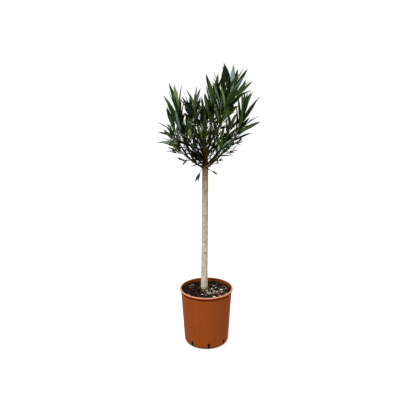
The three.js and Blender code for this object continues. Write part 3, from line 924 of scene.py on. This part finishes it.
def grow_leaves(fits, leaves, curve, start, whorls, leaf_length, opening, dice):
    """Adds a twig's leaves, whorl after whorl down from its growing point."""
    length = curve_length(curve) * (1 - start)
    below = WHORL_FIRST
    phase = next(dice) * LEAF_BETWEEN
    for whorl in range(whorls):
        place = 1 - (below / length) * (1 - start)
        gain = min(1, FIRST_WHORL_LENGTH + WHORL_GAIN * whorl)
        growth = gain - WHORL_LOSS * max(0, whorl - LONGEST_WHORL)
        for index in range(LEAVES_PER_WHORL):
            aside = TURN_VARIATION * (next(dice) - 0.5)
            turn = phase + WHORL_TURN * whorl + LEAF_BETWEEN * index + aside
            widest = SPREAD_FIRST + SPREAD_STEP * whorl + SPREAD_VARIATION * (next(dice) - 0.5)
            spread = opening * math.radians(widest)
            grown = leaf_length * growth * (SHORTEST_LEAF + LEAF_LENGTH_VARIATION * next(dice))
            sag = SAG_FIRST + SAG_STEP * whorl + SAG_VARIATION * next(dice)
            if below < length - BARE_FOOT:
                axis = curve_tangent(curve, place)
                leaf = fit_leaf(fits, curve_point(curve, place), axis, turn, spread, grown, sag)
                if leaf:
                    leaves.append(leaf)
        below += WHORL_SPACING + WHORL_SPACING_GROWTH * whorl


def side_twig(stem, place, turn, lean_angle, length):
    """A twig that leaves a stem at a lean and turns up at its end."""
    axis = curve_tangent(stem, place)
    angle = math.radians(lean_angle)
    lean = axis * math.cos(angle) + square_to(axis, turn) * math.sin(angle)
    foot = curve_point(stem, place)
    bend = foot + lean * length / 2
    return foot, bend, bend + lean * length / 4 + UP * length / 4


def grow_side_twigs(limb, dice):
    twigs = []
    turn = next(dice) * 360
    for index in range(limb["twigs"]):
        place = mix(limb["bough"], 1, SIDE_TWIG_SPACING * (index + 0.5))
        length = SIDE_TWIG_LENGTH * (0.85 + 0.3 * next(dice))
        twig = side_twig(limb["curve"], place, turn, SIDE_TWIG_LEAN, length)
        points = np.array([curve_point(twig, share) for share in SIDE_TWIG_PROBES])
        if clear_of_wood(points) and in_own_space(points, limb["name"]):
            twigs.append(twig)
        turn += GOLDEN_ANGLE
    return twigs


def hang_leaf(leaf):
    """The leaf on a spur hangs loosely, with its upper face turned away from the trunk."""
    middle = leaf["midrib"][1]
    outward = unit(np.array([middle[0] - TRUNK_FORK[0], middle[1] - TRUNK_FORK[1], 0]))
    leaf["up"] = unit(outward - leaf["forward"] * (outward @ leaf["forward"]))
    leaf["side"] = np.cross(leaf["up"], leaf["forward"])
    leaf["slim"] = SPUR_LEAF_BREADTH
    leaf["stiff"] = SPUR_LEAF_STIFFNESS


sprays = []
for name in names:
    limb = limbs[name]
    dice = make_dice(limb["seed"])
    limb["side_twigs"] = grow_side_twigs(limb, dice)
    limb["leaves"] = []
    stems = [(limb["curve"], limb["bough"], limb["whorls"], limb["leaf"])]
    side_leaf = SIDE_TWIG_LEAF_SHARE * limb["leaf"]
    stems += [(twig, 0, WHORLS_ON_SIDE_TWIG, side_leaf) for twig in limb["side_twigs"]]
    for curve, start, whorls, leaf_length in stems:
        before = len(limb["leaves"])
        fits = lambda leaf: leaf_fits(leaf, name, limb["leaves"])
        grow_leaves(fits, limb["leaves"], curve, start, whorls, leaf_length, limb["opening"], dice)
        sprays.append({"curve": curve, "leaves": limb["leaves"][before:]})
    if name.startswith("spur"):
        for leaf in limb["leaves"]:
            hang_leaf(leaf)
print(sum(len(spray["leaves"]) for spray in sprays), "leaves of the source on", len(sprays), "stems")

# %% [markdown]
# The CAD part stops at its main twigs. Here the rule goes on: short twigs with small leaves on the boughs,
# on the stems and on the trunk's top, which fill the heart of the crown as on the real plant. Those on a limb
# keep to the space nearest to it, and those on the trunk's top only keep clear of the wood.

# %% Growth: finer twigs and young tips
INNER_STEPS = np.linspace(0.1, 0.86, 15)
INNER_LEAN = 58
INNER_LENGTH = 44
INNER_LEAF = 52
INNER_WHORLS = 2
INNER_CLEARANCE = 3
INNER_SLIM = 0.66
INNER_SEED = 101
HEART_GROUPS = ((16, 0, 1, 0, 360), (14, 0.02, 0.6, 20, 110))
HEART_BEND_HEIGHT = 1160
HEART_SEED = 401
HEART_START = 0.2
HEART_OPENING = 1.2
HEART_LEAN = 66
HEART_LENGTH = 74
HEART_LEAF = 56
TIP_SPREAD = 9
TIP_SHARE = 0.34
TIP_LONGEST = 55
TIP_SAG = 0.02
TIP_TURN = 20
TIP_SEED = 301
LIMB_STEPS = 4

whole_paths = []
for limb in limbs.values():
    whole_paths.append(np.vstack([path_between(limb["curve"], 0, 1, LIMB_STEPS), space_path(limb)[-1]]))
whole_starts, whole_ends = all_stretches(whole_paths)
whole_owner = np.repeat(np.arange(len(names)), LIMB_STEPS + 1)


def nearest_is_own(points, name):
    """Whether the limb nearest to each point is the named one, over its whole length."""
    nearest = distances(points, whole_starts, whole_ends).argmin(-1)
    return bool((whole_owner[nearest] == names.index(name)).all())


def inner_leaf_fits(leaf, name, leaves):
    whole = leaf_points(leaf, [1 / 3, 2 / 3, 1], [-1, 0, 1])
    if not (clear_of_wood(whole) and nearest_is_own(whole, name)):
        return False
    return crosses_none(whole, leaves, INNER_CLEARANCE)


inner_twigs = []
for index, (name, *_) in enumerate(LIMBS):
    limb = limbs[name]
    dice = make_dice(INNER_SEED + index)
    turn = next(dice) * 360
    for start in INNER_STEPS:
        turn += GOLDEN_ANGLE
        twig = side_twig(limb["curve"], start, turn, INNER_LEAN, INNER_LENGTH * (0.6 + 0.8 * next(dice)))
        tip = np.array([twig[2]])
        if not nearest_is_own(tip, name) or not clear_of_wood(tip):
            continue
        leaves = []
        fits = lambda leaf: inner_leaf_fits(leaf, name, limb["leaves"] + leaves)
        grow_leaves(fits, leaves, twig, 0, INNER_WHORLS, INNER_LEAF * (0.75 + 0.5 * next(dice)), 1, dice)
        if leaves:
            inner_twigs.append(twig)
            limb["leaves"] += leaves
            sprays.append({"leaves": leaves, "inner": True})

trunk_curve = [trunk_centre(height) for height in (TRUNK_FORK_HEIGHT, HEART_BEND_HEIGHT, TRUNK_TOP_HEIGHT)]
heart_dice = make_dice(HEART_SEED)
heart_leaves = []
for count, lowest, highest, first_turn, turn_range in HEART_GROUPS:
    for index in range(count):
        place = mix(lowest, highest, (index + 0.5) / count)
        turn = first_turn + (GOLDEN_ANGLE * index) % turn_range
        twig = side_twig(trunk_curve, place, turn, HEART_LEAN, HEART_LENGTH * (0.6 + 0.7 * next(heart_dice)))
        leaves = []
        fits = lambda leaf: clear_of_wood(leaf_points(leaf, [1 / 3, 2 / 3, 1], [0]))
        longest = HEART_LEAF * (0.7 + 0.6 * next(heart_dice))
        grow_leaves(fits, leaves, twig, HEART_START, INNER_WHORLS + 1, longest, HEART_OPENING, heart_dice)
        inner_twigs.append(twig)
        heart_leaves += leaves
sprays.append({"leaves": heart_leaves, "inner": True})
print(len(heart_leaves), "small leaves in the heart of the crown")

tip_leaves = []
for number, spray in enumerate(sprays):
    if not spray["leaves"] or spray.get("inner"):
        continue
    dice = make_dice(TIP_SEED + number)
    axis = curve_tangent(spray["curve"], 1)
    length = min(TIP_LONGEST, TIP_SHARE * max(leaf["length"] for leaf in spray["leaves"]))
    phase = 360 * next(dice)
    for index in range(LEAVES_PER_WHORL):
        turn = phase + LEAF_BETWEEN * index + TIP_TURN * next(dice)
        spread = math.radians(TIP_SPREAD * (0.5 + next(dice)))
        young_length = length * (0.7 + 0.4 * next(dice))
        tip_leaves.append(aim_leaf(curve_point(spray["curve"], 1), axis, turn, spread, young_length, TIP_SAG))
inner_count = sum(len(spray["leaves"]) for spray in sprays if spray.get("inner"))
print(inner_count, "inner leaves on", len(inner_twigs), "finer twigs,", len(tip_leaves), "young tip leaves")

# %% [markdown]
# The wood is one living thing: bark runs without a seam from the trunk into the boughs. So the trunk and
# the boughs are laid out as plain tubes, a remesh welds them into one skin, a smoothing pass rounds the
# forks, and then the relief is pushed into the skin: rings where old leaves sat, one knot, and shallow
# furrows.

# %% Wood: tubes
WOOD_SIDES = 24
BOUGH_SIDES = 12
BOUGH_TUBE_STEPS = 10
TRUNK_STEPS = 40
TRUNK_SUNK = 4
ROUND_END = 0.6


def tube(path, radii, sides, start):
    """A closed tube along a path: its corners, and its faces numbered from start."""
    points, faces = [], []
    tangents = np.gradient(path, axis=0)
    for place, tangent, radius in zip(path, tangents, radii):
        axis = unit(tangent)
        across = unit(np.cross(axis, UP if abs(axis[2]) < 0.95 else np.array([0.0, 1.0, 0.0])))
        other = np.cross(axis, across)
        angles = np.arange(sides) * 2 * math.pi / sides
        points.append(place + radius * (np.outer(np.cos(angles), across) + np.outer(np.sin(angles), other)))
    for ring in range(len(path) - 1):
        for side in range(sides):
            a = start + ring * sides + side
            b = start + ring * sides + (side + 1) % sides
            faces.append((a, b, b + sides, a + sides))
    last = start + (len(path) - 1) * sides
    faces.append(tuple(range(start + sides - 1, start - 1, -1)))
    faces.append(tuple(range(last, last + sides)))
    return np.concatenate(points), faces


def tubes(rows):
    """Many tubes in one set of corners and faces; each row is a path, its radii, sides and kind."""
    points, faces, kinds = [], [], []
    start = 0
    for path, radii, sides, kind in rows:
        tube_points, tube_faces = tube(path, radii, sides, start)
        points.append(tube_points)
        faces += tube_faces
        kinds += [kind] * len(tube_faces)
        start += len(tube_points)
    return np.concatenate(points) * MM, faces, kinds


trunk_heights = np.linspace(SEAT - TRUNK_SUNK, TRUNK_TOP_HEIGHT, TRUNK_STEPS)
trunk_radii = [trunk_radius(height) for height in trunk_heights]
trunk_radii[-1] *= ROUND_END
wood_rows = [(np.array([trunk_centre(height) for height in trunk_heights]), trunk_radii, WOOD_SIDES, 0)]
for name, *_ in LIMBS:
    path = path_between(limbs[name]["curve"], 0, BOUGH_SHARE, BOUGH_TUBE_STEPS)
    radii = np.linspace(BOUGH_FOOT_RADIUS, BOUGH_TIP_RADIUS, len(path))
    wood_rows.append((path, radii, BOUGH_SIDES, 0))
wood_points, wood_faces, wood_kinds = tubes(wood_rows)
print("laid out", len(wood_rows), "tubes of wood")

# %% Wood: one skin with the bark's relief
SKIN_VOXEL = 1.5 * MM
RINGS = ((1042, 1.0), (971, 0.2), (903, 0.5), (821, 0.9), (742, 0.4), (662, 0.9), (520, 0.25), (440, 0.15))
RING_WIDTH = 2.2
RING_WAVE = 2.5
RING_RIPPLE = 1.2
RING_HEIGHT = 0.75
KNOT_HEIGHT = 584
KNOT_RADIUS = 6
KNOT_HOLLOW = 2.2
KNOT_DARKNESS = 1.6
FURROW = 0.45
FURROW_ON_BOUGHS = 0.4
FURROW_WIDTH, FURROW_LENGTH = 3.5, 28
LUMP_HEIGHT = 0.7
LUMP_WIDTH, LUMP_LENGTH = 16, 40
YOUTH_FROM, YOUTH_SPAN = 2, 60
TRUNK_SURE, TRUNK_FADE = 1, 4

wood = mesh_piece("bark_skin", wood_points, wood_faces, [], wood_kinds)
apply_modifier(wood, "REMESH", mode="VOXEL", voxel_size=SKIN_VOXEL)
apply_modifier(wood, "SMOOTH", factor=0.6, iterations=5)

corner_count = len(wood.data.vertices)
corners = np.empty(corner_count * 3)
normals = np.empty(corner_count * 3)
wood.data.vertices.foreach_get("co", corners)
wood.data.vertex_normals.foreach_get("vector", normals)
corners = corners.reshape(-1, 3) / MM
normals = normals.reshape(-1, 3)

axis_places = mix(np.array(TRUNK_FOOT) / MM, np.array(TRUNK_FORK, dtype=float), up_trunk(corners[:, 2:3]))
from_axis = corners[:, :2] - axis_places
off_axis = np.linalg.norm(from_axis, axis=1)
heading = np.arctan2(from_axis[:, 0], -from_axis[:, 1])
off_trunk = off_axis - np.interp(corners[:, 2], trunk_heights, trunk_radii)
youth = np.clip((off_trunk - YOUTH_FROM) / YOUTH_SPAN, 0, 1)
on_trunk = np.clip(1 - (off_trunk - TRUNK_SURE) / TRUNK_FADE, 0, 1)

scar = np.zeros(corner_count)
for number, (height, strength) in enumerate(RINGS):
    wave = RING_WAVE * np.sin(heading + number) + RING_RIPPLE * np.sin(2 * heading + 2 * number)
    scar += strength * np.exp(-(((corners[:, 2] - height - wave) / RING_WIDTH) ** 2)) * on_trunk
knot_offset = np.hypot(corners[:, 2] - KNOT_HEIGHT, TRUNK_RADIUS * heading)
knot = np.exp(-((knot_offset / KNOT_RADIUS) ** 2)) * on_trunk
furrow_size = (FURROW_WIDTH, FURROW_WIDTH, FURROW_LENGTH)
lump_size = (LUMP_WIDTH, LUMP_WIDTH, LUMP_LENGTH)
furrows = np.array([noise.noise(Vector(place)) for place in corners / furrow_size])
lumps = np.array([noise.noise(Vector(place)) for place in corners / lump_size + [0, 0, 9]])
push = RING_HEIGHT * scar + knot - KNOT_HOLLOW * np.exp(-((knot_offset / KNOT_HOLLOW) ** 2)) * on_trunk
push += FURROW * furrows * mix(FURROW_ON_BOUGHS, 1, on_trunk) + LUMP_HEIGHT * lumps * on_trunk
corners += normals * push[:, None]
wood.data.vertices.foreach_set("co", (corners * MM).ravel())
for label, values in (("youth", youth), ("scar", np.clip(scar + KNOT_DARKNESS * knot, 0, 1))):
    wood.data.attributes.new(label, "FLOAT", "POINT").data.foreach_set("value", values)
make_active(wood)
bpy.ops.object.shade_smooth()
print("skin of", corner_count, "corners; relief from", round(push.min(), 2), "to", round(push.max(), 2), "mm")

# %% [markdown]
# Bark changes with age. Low on the trunk it is pale grey-tan and almost smooth, towards the fork it turns
# brown, the young boughs are olive-brown, and the twigs are green. Just above the soil the bark is lighter
# still, which is painted light against the shade inside the pot. A ramp over height gives the trunk's change,
# and the youth attribute of the skin gives the boughs'.

# %% Wood: bark
BARK_BY_HEIGHT_WITH_PAINTED_LIGHT = [
    (0.00, srgb(92, 76, 54)),
    (0.01, srgb(146, 137, 112)),
    # painted light: just above the soil the bark is lighter, to offset the shade inside the pot
    (0.03, srgb(184, 177, 161)),
    (0.10, srgb(166, 160, 149)),
    (0.30, srgb(157, 150, 140)),
    (0.55, srgb(147, 138, 127)),
    (0.75, srgb(131, 118, 106)),
    (0.83, srgb(110, 93, 77)),
    (0.88, srgb(104, 82, 56)),
    (1.00, srgb(84, 62, 38)),
]
BARK_PATTERNS = (
    (45, 0.4, (0.82, 0.82, 0.84), (1.12, 1.08, 1.02)),
    (150, 0.7, (0.76, 0.76, 0.7), (1.16, 1.12, 1.14)),
    (230, 0.07, (0.9, 0.88, 0.85), (1.03, 1.03, 1.03)),
)
SCAR_BROWN = srgb(88, 68, 50)
BARK_OLD_BOUGH = srgb(62, 50, 30)
BARK_YOUNG_BOUGH = srgb(30, 34, 13)


def make_bark():
    bark = plain_material("oleander_bark", BARK_BY_HEIGHT_WITH_PAINTED_LIGHT[0][1], 0.8, 0)
    tone = ramp(bark, height_on(bark, SEAT * MM, TRUNK_TOP_HEIGHT * MM), BARK_BY_HEIGHT_WITH_PAINTED_LIGHT)
    for scale, stretch, dark, light in BARK_PATTERNS:
        pattern = grain(bark, scale, detail=4, stretch=(1, 1, stretch))
        patches = ramp(bark, pattern, [(0.38, dark), (0.64, light)])
        tone = multiply(bark, tone, patches)
    scar_value = add_node(bark, "Attribute", attribute_name="scar").outputs["Fac"]
    tone = mix_colors(bark, fade(bark, scar_value, (0.1, 0), (0.9, 0.8)), tone, SCAR_BROWN)
    youth_value = add_node(bark, "Attribute", attribute_name="youth").outputs["Fac"]
    bough = ramp(bark, youth_value, [(0.0, BARK_OLD_BOUGH), (1.0, BARK_YOUNG_BOUGH)])
    tone = mix_colors(bark, fade(bark, youth_value, (0, 0), (0.12, 1)), tone, bough)
    set_color(bark, tone)
    set_roughness(bark, patches, 0.66, 0.86)
    add_bump(bark, grain(bark, 380, detail=4, stretch=(1, 1, 0.25)), 0.5, 0.5 * MM)
    return bark


wood.data.materials.append(make_bark())
settle(wood, ["trunk"] + ["bough_" + name for name, *_ in LIMBS])

# %% [markdown]
# The twigs go on from the boughs, brown-green at first and fresh green near their tips. They are thin, so
# plain tubes of a few sides are enough, joined into one mesh with a material for the older and the younger
# part.

# %% Twigs
TWIG_TIP_RADIUS = 2.0
SPUR_FOOT_RADIUS = 2.4
SIDE_TWIG_RADII = (2.6, 1.8)
INNER_TWIG_RADII = (1.5, 1.1)
TWIG_SIDES = 6
GREEN_FROM = 0.75

foliage_nodes = ["foliage_" + name for name in names]
twig_rows = []
for name in names:
    limb = limbs[name]
    start = max(0, limb["bough"] - 0.03)
    foot_radius = BOUGH_TIP_RADIUS if limb["bough"] else SPUR_FOOT_RADIUS
    for low, high, kind in ((start, GREEN_FROM, 0), (GREEN_FROM, 1, 1)):
        path = path_between(limb["curve"], low, high, 4)
        shares = (np.linspace(low, high, 5) - start) / (1 - start)
        twig_rows.append((path, mix(foot_radius, TWIG_TIP_RADIUS, shares), TWIG_SIDES, kind))
    for twig in limb["side_twigs"]:
        twig_rows.append((path_between(twig, 0, 1, 5), np.linspace(*SIDE_TWIG_RADII, 6), TWIG_SIDES, 1))
for twig in inner_twigs:
    twig_rows.append((path_between(twig, 0, 1, 4), np.linspace(*INNER_TWIG_RADII, 5), TWIG_SIDES, 0))
twig_materials = [
    plain_material("twig_bark", srgb(36, 36, 14), 0.7, 0.2),
    plain_material("green_shoot", srgb(62, 76, 26), 0.5, 0.2),
]
twig_points, twig_faces, twig_kinds = tubes(twig_rows)
twigs = mesh_piece("twigs", twig_points, twig_faces, twig_materials, twig_kinds)
smooth(twigs, 60)
settle(twigs, foliage_nodes)

# %% [markdown]
# An oleander leaf is long, narrow and leathery: widest past its middle, with a short stalk, a pale midrib
# and a greyer underside. Each is a closed blade of a few dozen faces, folded a little along its midrib, and
# bent and twisted differently. The midrib is a strip of faces of its own, so its colour stays where it
# belongs.

# %% Leaves: the blade
LEAF_OUTLINE = (
    (0.0, 0.09),
    (0.05, 0.10),
    (0.13, 0.42),
    (0.26, 0.76),
    (0.42, 0.97),
    (0.58, 1.0),
    (0.74, 0.82),
    (0.89, 0.44),
    (1.0, 0.0),
)
BLADE_WIDTH_SHARE = 0.2
BLADE_NARROWING = 0.00034
BLADE_ROLL = 100
BLADE_TWIST = 60
BLADE_FOLD = 0.3
BLADE_SICKLE = 0.05
RIB_HALF = 0.75
RIB_DEPTH = 1.3
RIB_FULL_LENGTH = 90
BLADE, UNDERSIDE, MIDRIB = 0, 1, 2
FACE_KINDS = (BLADE, MIDRIB, BLADE, UNDERSIDE, MIDRIB, UNDERSIDE)


def blade_corners(leaf, dice):
    """Six corners at each station and one at the tip."""
    t = np.array([place for place, _ in LEAF_OUTLINE[:-1]])[:, None]
    shape = np.array([width for _, width in LEAF_OUTLINE[:-1]])[:, None]
    length = leaf["length"]
    sickle = BLADE_SICKLE * (next(dice) - 0.5)
    roll = math.radians(BLADE_ROLL * (next(dice) - 0.5)) * leaf.get("stiff", 1)
    twist = math.radians(BLADE_TWIST * (next(dice) - 0.5))
    share = (BLADE_WIDTH_SHARE - BLADE_NARROWING * length) * leaf.get("slim", 1)
    width = length * share * (0.9 + 0.2 * next(dice))
    bow = leaf["side"] * sickle - leaf["up"] * leaf["sag"]
    spine = leaf["base"] + leaf["forward"] * length * t + bow * length * t * t
    turned = np.minimum(1, 4 * t) * roll + twist * t
    side = leaf["side"] * np.cos(turned) + leaf["up"] * np.sin(turned)
    rise = leaf["up"] * np.cos(turned) - leaf["side"] * np.sin(turned)
    half = np.maximum(width / 2 * shape, RIB_HALF * 1.2)
    rib = RIB_HALF * (1 - 0.6 * t) * min(1, length / RIB_FULL_LENGTH)
    depth = RIB_DEPTH * (1 - 0.75 * t) * min(1, length / RIB_FULL_LENGTH)
    fold = BLADE_FOLD * (half - rib)
    ring = [
        spine - side * half + rise * fold,
        spine - side * rib,
        spine + side * rib,
        spine + side * half + rise * fold,
        spine + side * rib - rise * depth,
        spine - side * rib - rise * depth,
    ]
    tip = leaf["base"] + (leaf["forward"] + bow) * length
    return np.vstack([np.stack(ring, 1).reshape(-1, 3), tip])


def blade_faces():
    """The faces of one blade and the kind of each."""
    faces, kinds = [], []
    rings = len(LEAF_OUTLINE) - 1
    for ring in range(rings):
        for side, kind in enumerate(FACE_KINDS):
            a, b = ring * 6 + side, ring * 6 + (side + 1) % 6
            if ring < rings - 1:
                faces.append((a, a + 6, b + 6, b))
            else:
                faces.append((a, rings * 6, b))
            kinds.append(kind)
    faces.append((0, 1, 2, 3, 4, 5))
    kinds.append(MIDRIB)
    return faces, kinds


BLADE_FACES, BLADE_KINDS = blade_faces()
BLADE_CORNERS = (len(LEAF_OUTLINE) - 1) * 6 + 1


def leaf_piece(name, leaves, materials, seed):
    """All leaves of one tone as one joined mesh, handed to the frame."""
    dice = make_dice(seed)
    points = np.concatenate([blade_corners(leaf, dice) for leaf in leaves]) * MM
    faces = [
        tuple(corner + number * BLADE_CORNERS for corner in face)
        for number in range(len(leaves))
        for face in BLADE_FACES
    ]
    piece = mesh_piece(name, points, faces, materials, BLADE_KINDS * len(leaves))
    smooth(piece, 40)
    settle(piece, foliage_nodes)


print("a leaf has", len(BLADE_FACES), "faces")

# %% [markdown]
# Colours are dealt out by spray, as on the plant, where the leaves of one shoot are of one age: most are deep
# green, some olive, some bluish, and the tips are fresh. The leaves of the finer twigs inside the crown are
# darker, a near-black painted-shade tone or the deep one. Each tone is one mesh with plain colours for blade,
# underside and midrib, because a pattern on such a mesh would not survive the export.

# %% Leaves: tones
LEAF_TONES = {
    # painted shade: a near-black copy of the leaf colours for the leaves inside the crown
    "painted_shade": (srgb(7, 14, 3), srgb(14, 22, 8), srgb(17, 26, 7), 0.0),
    "deep": (srgb(6, 15, 2), srgb(24, 38, 16), srgb(40, 58, 17), 0.02),
    "green": (srgb(20, 37, 5), srgb(48, 64, 32), srgb(76, 92, 34), 0.05),
    "olive": (srgb(50, 66, 12), srgb(84, 100, 54), srgb(108, 122, 52), 0.06),
    "bluish": (srgb(26, 44, 22), srgb(104, 122, 112), srgb(92, 112, 84), 0.12),
}
TONE_DEAL = (
    *("deep", "green", "deep", "bluish", "green", "deep"),
    *("olive", "green", "deep", "bluish", "deep", "olive"),
)
STRAY_SHARE = 0.85
TONE_SEED = 77
LEAF_SEED = 501
YOUNG_SEED = 601
YOUNG_TONE = (srgb(58, 78, 18), srgb(70, 88, 36), srgb(96, 112, 46), 0.06)
LEAF_ROUGHNESS = 0.42
UNDERSIDE_ROUGHNESS = 0.7


def leaf_materials(tone, colors):
    *paints, gloss = colors
    labels = ("blade", "underside", "midrib")
    roughness = (LEAF_ROUGHNESS, UNDERSIDE_ROUGHNESS, LEAF_ROUGHNESS)
    return [plain_material(f"{tone}_{label}", c, r, gloss) for label, c, r in zip(labels, paints, roughness)]


def deal_tone(dice):
    return TONE_DEAL[int(next(dice) * len(TONE_DEAL))]


dealt = {tone: [] for tone in LEAF_TONES}
tone_dice = make_dice(TONE_SEED)
for spray in sprays:
    spray_tone = deal_tone(tone_dice)
    for leaf in spray["leaves"]:
        tone = deal_tone(tone_dice) if next(tone_dice) < STRAY_SHARE else spray_tone
        # leaves inside the crown get the near-black painted-shade tone or the deep one, as painted shade
        if spray.get("inner"):
            tone = "painted_shade" if tone in ("deep", "green", "bluish") else "deep"
            leaf["slim"] = INNER_SLIM
        dealt[tone].append(leaf)
for number, (tone, colors) in enumerate(LEAF_TONES.items()):
    leaf_piece(f"leaves_{tone}", dealt[tone], leaf_materials(tone, colors), LEAF_SEED + number)
leaf_piece("leaves_young", tip_leaves, leaf_materials("young", YOUNG_TONE), YOUNG_SEED)

# %% [markdown]
# Last, the script prints the box of the visual model.

# %% Sizes and finish
low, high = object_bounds()
print("visual box from", tuple(round(v, 3) for v in low), "to", tuple(round(v, 3) for v in high))
